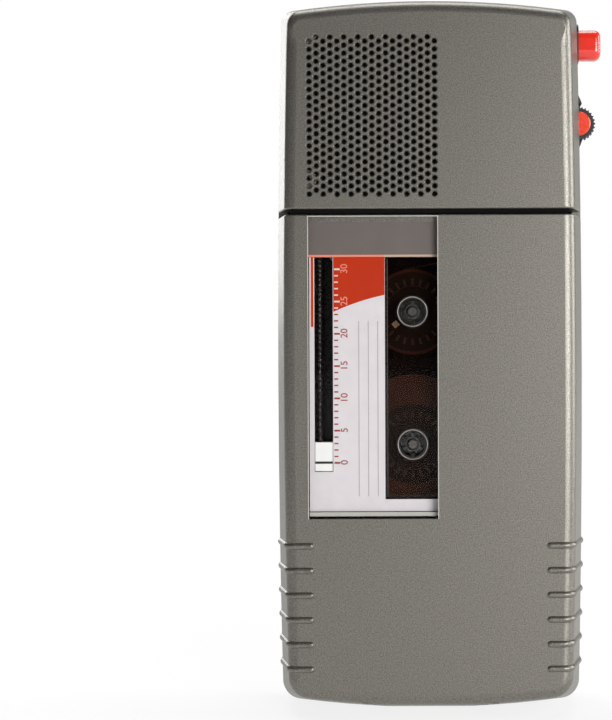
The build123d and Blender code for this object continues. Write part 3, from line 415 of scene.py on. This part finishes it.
# Lower edge of the red field: a shallow arc that climbs to the right and flattens
def redEdge(x):
    along = (x - redLeft) / (redRight - redLeft)
    climb = redValues["climbMm"] * along - redValues["flattenMm"] * along ** 2
    return (redValues["startMm"] + climb) * mm


def buildRedField(work):
    steps = redValues["steps"]
    lower = [(redLeft + (redRight - redLeft) * i / steps) for i in range(steps + 1)]
    addPrism(work, [(x, redEdge(x)) for x in lower] + [(redRight, redTop), (redLeft, redTop)],
             printFront, printBack)
    left, right, low = (size * mm for size in redValues["stripMm"])
    addPrism(work, rectangle(left, right, low, redTop), printFront, printBack)


meshPiece("labelRedField", "cassette", redPrint, buildRedField, smooth=False)


def buildStripBorder(work):
    low = redValues["borderLowMm"] * mm
    for left, right in redValues["borderMm"]:
        addPrism(work, rectangle(left * mm, right * mm, low, redTop), printFront, printBack)


meshPiece("labelStripBorder", "cassette", palePrint, buildStripBorder, smooth=False)


def buildTicks(work, onRed):
    values = labelValues
    left = values["tickLeftMm"] * mm
    yFront = printFront - 0.01 * mm
    for mark in range(values["marks"]):
        z = (values["zeroMm"] + mark * values["stepMm"]) * mm
        length = values["longTickMm"] if mark % 5 == 0 else values["tickMm"]
        if (z > redEdge(left)) != onRed:
            continue
        half = values["tickHeightMm"] * mm / 2 * (1.3 if mark % 5 == 0 else 1.0)
        addPrism(work, rectangle(left, left + length * mm, z - half, z + half), yFront, printBack)


meshPiece("scaleTicksDark", "cassette", darkRedPrint,
          lambda work: buildTicks(work, False), smooth=False)
meshPiece("scaleTicksPale", "cassette", palePrint,
          lambda work: buildTicks(work, True), smooth=False)


# Scale figure, turned to read upwards, cut as a thin solid and turned into a mesh
def makeFigure(number):
    values = labelValues
    curve = bpy.data.curves.new("figure" + str(number), "FONT")
    curve.body = str(number)
    curve.size = values["figureMm"] * mm
    curve.align_x = "CENTER"
    curve.align_y = "CENTER"
    curve.extrude = 0.008 * mm
    curve.offset = 0.012 * mm
    text = bpy.data.objects.new("figureText" + str(number), curve)
    bpy.context.scene.collection.objects.link(text)
    bpy.context.view_layer.update()
    mesh = bpy.data.meshes.new_from_object(text)
    bpy.data.objects.remove(text)
    z = (values["zeroMm"] + number * values["stepMm"] + 0.1) * mm
    for vertex in mesh.vertices:
        across, up, out = vertex.co
        vertex.co = (values["figureXMm"] * mm - up, printFront - 0.012 * mm - out, z + across)
    mesh.flip_normals()
    piece = bpy.data.objects.new("scaleFigure" + str(number), mesh)
    bpy.context.scene.collection.objects.link(piece)
    mesh.materials.clear()
    mesh.materials.append(salmonPrint if number >= 25 else darkRedPrint)
    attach(piece, "cassette")


for number in range(0, 31, 5):
    makeFigure(number)


ruleValues = {"leftMm": (-14.3, -12.4, -10.5), "wideMm": 0.14, "lowMm": 43.5, "highMm": 78.5}


def buildRules(work):
    low, high = ruleValues["lowMm"] * mm, ruleValues["highMm"] * mm
    for x in ruleValues["leftMm"]:
        outline = rectangle(x * mm, (x + ruleValues["wideMm"]) * mm, low, high)
        addPrism(work, outline, printFront, printBack)


meshPiece("labelWritingRules", "cassette", greyRule, buildRules, smooth=False)
print("cassette label printed")


paneLow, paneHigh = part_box("window_pane")
maskLow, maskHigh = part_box("window_mask")
edgeValues = {
    "edgeMm": 0.16, "liftMm": 0.03, "maskBandMm": 0.45, "sillMm": (39.6, 40.4), "labelRightMm": -9.05,
}


# Painted highlight: pale strips along the pane's left, right and top edges
def buildPaneEdge(work):
    wide, lift = edgeValues["edgeMm"] * mm, edgeValues["liftMm"] * mm
    front = paneLow.y - lift
    for outline in (
        rectangle(paneLow.x, paneLow.x + wide, paneLow.z, paneHigh.z),
        rectangle(paneHigh.x - wide, paneHigh.x, paneLow.z, paneHigh.z),
        rectangle(paneLow.x + wide, paneHigh.x - wide, paneHigh.z - wide, paneHigh.z),
    ):
        addPrism(work, outline, front, front + 2 * lift)


meshPiece("paneEdgePaintedHighlight", "door", paneEdgeLightAndShade, buildPaneEdge, smooth=False)


def buildMaskBand(work, x0, x1):
    top = maskLow.z + edgeValues["maskBandMm"] * mm
    addPrism(work, rectangle(x0, x1, maskLow.z, top), maskLow.y - 0.015 * mm, maskLow.y + 0.03 * mm)


bandSplit = edgeValues["labelRightMm"] * mm
meshPiece("maskBandOverLabel", "door", salmonPrint,
          lambda work: buildMaskBand(work, maskLow.x, bandSplit), smooth=False)
meshPiece("maskBandOverWindow", "door", beigePrint,
          lambda work: buildMaskBand(work, bandSplit, maskHigh.x), smooth=False)
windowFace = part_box("cassette_window")[0].y
rimValues = {
    "outerMm": -8.85, "innerMm": -8.5, "lowMm": 43.4, "highMm": 43.75, "topMm": 91.0, "rightMm": 1.9,
    "glintMm": 0.07,
}


def buildWindowRim(work):
    values = rimValues
    left, inner, right = values["outerMm"] * mm, values["innerMm"] * mm, values["rightMm"] * mm
    low, high, top = values["lowMm"] * mm, values["highMm"] * mm, values["topMm"] * mm
    for outline in (rectangle(left, inner, low, top), rectangle(inner, right, low, high)):
        addPrism(work, outline, windowFace - 0.03 * mm, windowFace + 0.05 * mm)


def buildWindowGlint(work):
    values = rimValues
    addPrism(work, rectangle(values["innerMm"] * mm, (values["innerMm"] + values["glintMm"]) * mm,
                             values["highMm"] * mm, values["topMm"] * mm),
             windowFace - 0.02 * mm, windowFace + 0.05 * mm)


# Painted highlight: a dim brown light line along the edge of the dark window
rimGlint = makeMoulded("paintedWindowEdgeHighlight", "#5c5450", "#6a625d", 0.2, 0.3, 0.005)
meshPiece("cassetteWindowRim", "cassette", cassetteAbs, buildWindowRim, smooth=False)
meshPiece("cassetteWindowGlint", "cassette", rimGlint, buildWindowGlint, smooth=False)


# Painted shade: a grey band behind the pane along the lower edge of the window
def buildPaneSill(work):
    low, high = edgeValues["sillMm"]
    addPrism(work, rectangle(paneLow.x + 0.2 * mm, paneHigh.x - 0.2 * mm, low * mm, high * mm),
             paneHigh.y - 0.2 * mm, paneHigh.y - 0.02 * mm)


meshPiece("paneSillPaintedShade", "door", paneEdgeLightAndShade, buildPaneSill, smooth=False)
print("window edges trimmed")


screwValues = {"topPitchMm": 0.84, "bottomPitchMm": 1.56, "ridgeMm": 0.2, "rows": 620, "around": 20}


def buildLeadScrew(work):
    values = screwValues
    low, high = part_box("index_screw")
    x, y = (low.x + high.x) / 2, (low.y + high.y) / 2
    outer = (high.x - low.x) / 2
    length = high.z - low.z
    phase = 0.0
    rows = []
    for row in range(values["rows"] + 1):
        share = row / values["rows"]
        pitch = (values["bottomPitchMm"] * (1 - share) + values["topPitchMm"] * share) * mm
        phase += 2 * math.pi * length / values["rows"] / pitch
        plain = min(1.0, share * 40, (1 - share) * 40)
        ringVerts = []
        for step in range(values["around"]):
            angle = 2 * math.pi * step / values["around"]
            ridge = max(0.0, math.cos(phase - angle)) ** 1.5
            radius = outer - values["ridgeMm"] * mm * (1 - ridge) * plain
            ringVerts.append(work.verts.new((
                x + radius * math.cos(angle), y + radius * math.sin(angle), low.z + length * share,
            )))
        rows.append(ringVerts)
    count = values["around"]
    for near, far in zip(rows, rows[1:]):
        for step in range(count):
            after = (step + 1) % count
            work.faces.new((near[step], near[after], far[after], far[step]))
    work.faces.new(rows[0][::-1])
    work.faces.new(rows[-1])


leadScrew = meshPiece("indexLeadScrew", "index_rod", screwAcetal, buildLeadScrew)
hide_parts("index_screw")


def buildPointerLine(work):
    low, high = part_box("index_pointer")
    addPrism(work, rectangle(low.x + 0.02 * mm, high.x - 0.02 * mm, 50.02 * mm, 50.48 * mm),
             low.y + 0.02 * mm, low.y + 0.25 * mm)


meshPiece("pointerLine", "index_mark", blackAbs, buildPointerLine, smooth=False)
print("index mechanism detailed")


hubValues = {
    "teeth": 24, "toothInnerMm": 5.4, "toothOuterMm": 6.7, "toothWidthMm": 0.5, "riseMm": 0.25,
    "rimMm": ((3.08, 0), (3.0, 0.06), (2.9, 0.06), (2.82, 0)), "rimSteps": 64,
}
markValues = {
    "turnDegrees": 40, "rightMm": -3.4, "upMm": -2.5, "halfMm": 0.6, "frontMm": 0.18, "backMm": 0.02,
}


def hubCentre(node):
    low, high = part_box(node)
    return (low.x + high.x) / 2, (low.z + high.z) / 2, low.y


def buildHubTeeth(work, node):
    values = hubValues
    x, z, _ = hubCentre(node)
    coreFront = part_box("supply_tape_pack")[0].y
    for tooth in range(values["teeth"]):
        angle = 2 * math.pi * tooth / values["teeth"]
        along = Vector((math.cos(angle), math.sin(angle)))
        across = Vector((-along.y, along.x)) * values["toothWidthMm"] * mm / 2
        inner = Vector((x, z)) + along * values["toothInnerMm"] * mm
        outer = Vector((x, z)) + along * values["toothOuterMm"] * mm
        addPrism(work, [tuple(inner - across), tuple(outer - across), tuple(outer + across),
                        tuple(inner + across)], coreFront - values["riseMm"] * mm, coreFront)


# Painted highlight: a light ring round the hub collar, standing in for the glint on its edge
hubGlint = makeMoulded("paintedHubRimHighlight", "#8f8a86", "#a5a09b", 0.2, 0.3, 0.005, specular=0.8)
for reel, hub in (("supply_reel", "supply_hub"), ("takeup_reel", "takeup_hub")):
    meshPiece(hub + "Teeth", reel, hubTeethLitCopy, lambda work: buildHubTeeth(work, hub), smooth=False)
    centreX, centreZ, collarFront = hubCentre(hub)
    rimLoop = [(radius * mm, collarFront - rise * mm) for radius, rise in hubValues["rimMm"]]
    meshPiece(hub + "Rim", reel, hubGlint,
              lambda work: addRingBand(work, (centreX, centreZ), rimLoop, hubValues["rimSteps"]))


def buildHubMark(work):
    x, z, _ = hubCentre("takeup_hub")
    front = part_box("takeup_tape_pack")[0].y
    turn = math.radians(markValues["turnDegrees"])
    centre = Vector((x + markValues["rightMm"] * mm, z + markValues["upMm"] * mm))
    half = markValues["halfMm"] * mm
    corners = []
    for a, b in ((-1, -1), (1, -1), (1, 1), (-1, 1)):
        corners.append((
            centre.x + half * (a * math.cos(turn) - b * math.sin(turn)),
            centre.y + half * (a * math.sin(turn) + b * math.cos(turn)),
        ))
    addPrism(work, corners, front - markValues["frontMm"] * mm, front - markValues["backMm"] * mm)


meshPiece("takeupHubMark", "takeup_reel", pointerWhite, buildHubMark, smooth=False)
print("hubs detailed")


# A white floor that glows with no lamp behind it, painted light: close to the machine it is mostly
# emission over a matt white that takes shadows, further out it is pure emission up to plain white
floorValues = {
    "half": 6.0, "thick": 0.004, "shadowReach": 0.05, "whiteReach": 0.4, "glow": 1.0, "nearShare": 0.82,
}


def makeFloor():
    values = floorValues
    material, tree = newMaterial("glowingStudioFloor")
    place = addNode(tree, "ShaderNodeTexCoord").outputs["Object"]
    noise = addNode(tree, "ShaderNodeTexNoise", {"Vector": place, "Scale": 30.0})
    colour = addNode(tree, "ShaderNodeMix", {
        0: noise.outputs[0], 6: linear("#f4f4f3"), 7: linear("#f1f1f0"),
    }, data_type="RGBA")
    reach = addNode(tree, "ShaderNodeVectorMath", {0: place}, operation="LENGTH")
    white = addNode(tree, "ShaderNodeMapRange", {
        "Value": reach.outputs["Value"], "To Min": values["nearShare"],
        "From Min": values["shadowReach"], "From Max": values["whiteReach"],
    }, interpolation_type="SMOOTHSTEP")
    matt = addNode(tree, "ShaderNodeBsdfPrincipled", {
        "Base Color": colour.outputs[2], "Roughness": 0.6,
    })
    # Painted light: the floor's own glow, its share rising with distance from the machine
    lit = addNode(tree, "ShaderNodeEmission", {"Color": (1, 1, 1, 1), "Strength": values["glow"]})
    mixed = addNode(tree, "ShaderNodeMixShader", {
        0: white.outputs[0], 1: matt.outputs[0], 2: lit.outputs[0],
    })
    closeMaterial(material, mixed)
    half = values["half"]
    mesh = bpy.data.meshes.new("studioFloor")
    work = bmesh.new()
    addPrism(work, rectangle(-half, half, -values["thick"], 0), -half, half)
    work.to_mesh(mesh)
    work.free()
    floor = bpy.data.objects.new("studioFloor", mesh)
    bpy.context.scene.collection.objects.link(floor)
    mesh.materials.append(material)


# Bearings are degrees round the machine from straight in front, positive towards its right side
lights = {
    "rightSideBox": {"bearing": 94, "away": 0.7, "height": 0.26, "size": (0.34, 0.5), "watts": 4.0},
    "frontFillBox": {"bearing": 34, "away": 0.8, "height": 0.13, "size": (0.42, 0.30), "watts": 5.6},
    "leftRimStrip": {"bearing": -152, "away": 0.7, "height": 0.34, "size": (0.30, 0.5), "watts": 1.7},
    "topBox": {"bearing": 180, "away": 0.2, "height": 0.85, "size": (0.7, 0.4), "watts": 5.0},
}


def makeLights():
    middle = Vector((0, 0, 0.072))
    for name, values in lights.items():
        data = bpy.data.lights.new(name, "AREA")
        data.shape = "RECTANGLE"
        data.size, data.size_y = values["size"]
        data.energy = values["watts"]
        turn = math.radians(values["bearing"])
        lamp = bpy.data.objects.new(name, data)
        away = values["away"]
        lamp.location = (away * math.sin(turn), -away * math.cos(turn), values["height"])
        lamp.rotation_mode = "QUATERNION"
        lamp.rotation_quaternion = (middle - lamp.location).to_track_quat("-Z", "Y")
        bpy.context.scene.collection.objects.link(lamp)


# The room is dim in front and at the sides and white behind the machine, where the backdrop hangs
worldValues = {"room": 0.05, "backdrop": 0.85, "seen": 1.0, "edgeStart": 0.72, "edgeEnd": 0.9}


def makeWorld():
    values = worldValues
    world = bpy.data.worlds.new("studioSurround")
    world.use_nodes = True
    tree = world.node_tree
    tree.nodes.clear()
    direction = addNode(tree, "ShaderNodeTexCoord").outputs["Generated"]
    parts = addNode(tree, "ShaderNodeSeparateXYZ", {0: direction})
    backdrop = addNode(tree, "ShaderNodeMapRange", {
        "Value": parts.outputs["Y"], "From Min": values["edgeStart"], "From Max": values["edgeEnd"],
        "To Min": values["room"], "To Max": values["backdrop"],
    }, interpolation_type="SMOOTHSTEP")
    path = addNode(tree, "ShaderNodeLightPath")
    strength = addNode(tree, "ShaderNodeMix", {
        0: path.outputs["Is Camera Ray"], 2: backdrop.outputs[0], 3: values["seen"],
    })
    shader = addNode(tree, "ShaderNodeBackground", {
        "Color": (1, 1, 1, 1), "Strength": strength.outputs[0],
    })
    addNode(tree, "ShaderNodeOutputWorld", {"Surface": shader.outputs[0]})
    bpy.context.scene.world = world


cameraValues = {
    "from": (0, -0.3425, 0.072), "lens": 83.1, "sensor": 36,
    "shiftX": -0.1722, "shiftY": -0.009, "rollDegrees": 0.2,
}


def makeCamera():
    values = cameraValues
    data = bpy.data.cameras.new("studioCamera")
    data.lens = values["lens"]
    data.sensor_width = values["sensor"]
    data.shift_x = values["shiftX"]
    data.shift_y = values["shiftY"]
    data.clip_start = 0.01
    camera = bpy.data.objects.new("studioCamera", data)
    camera.location = values["from"]
    camera.rotation_euler = (math.radians(90), math.radians(values["rollDegrees"]), 0)
    bpy.context.scene.collection.objects.link(camera)
    bpy.context.scene.camera = camera


makeFloor()
makeLights()
makeWorld()
makeCamera()
bpy.context.scene.view_settings.view_transform = "Standard"
print("stage set")
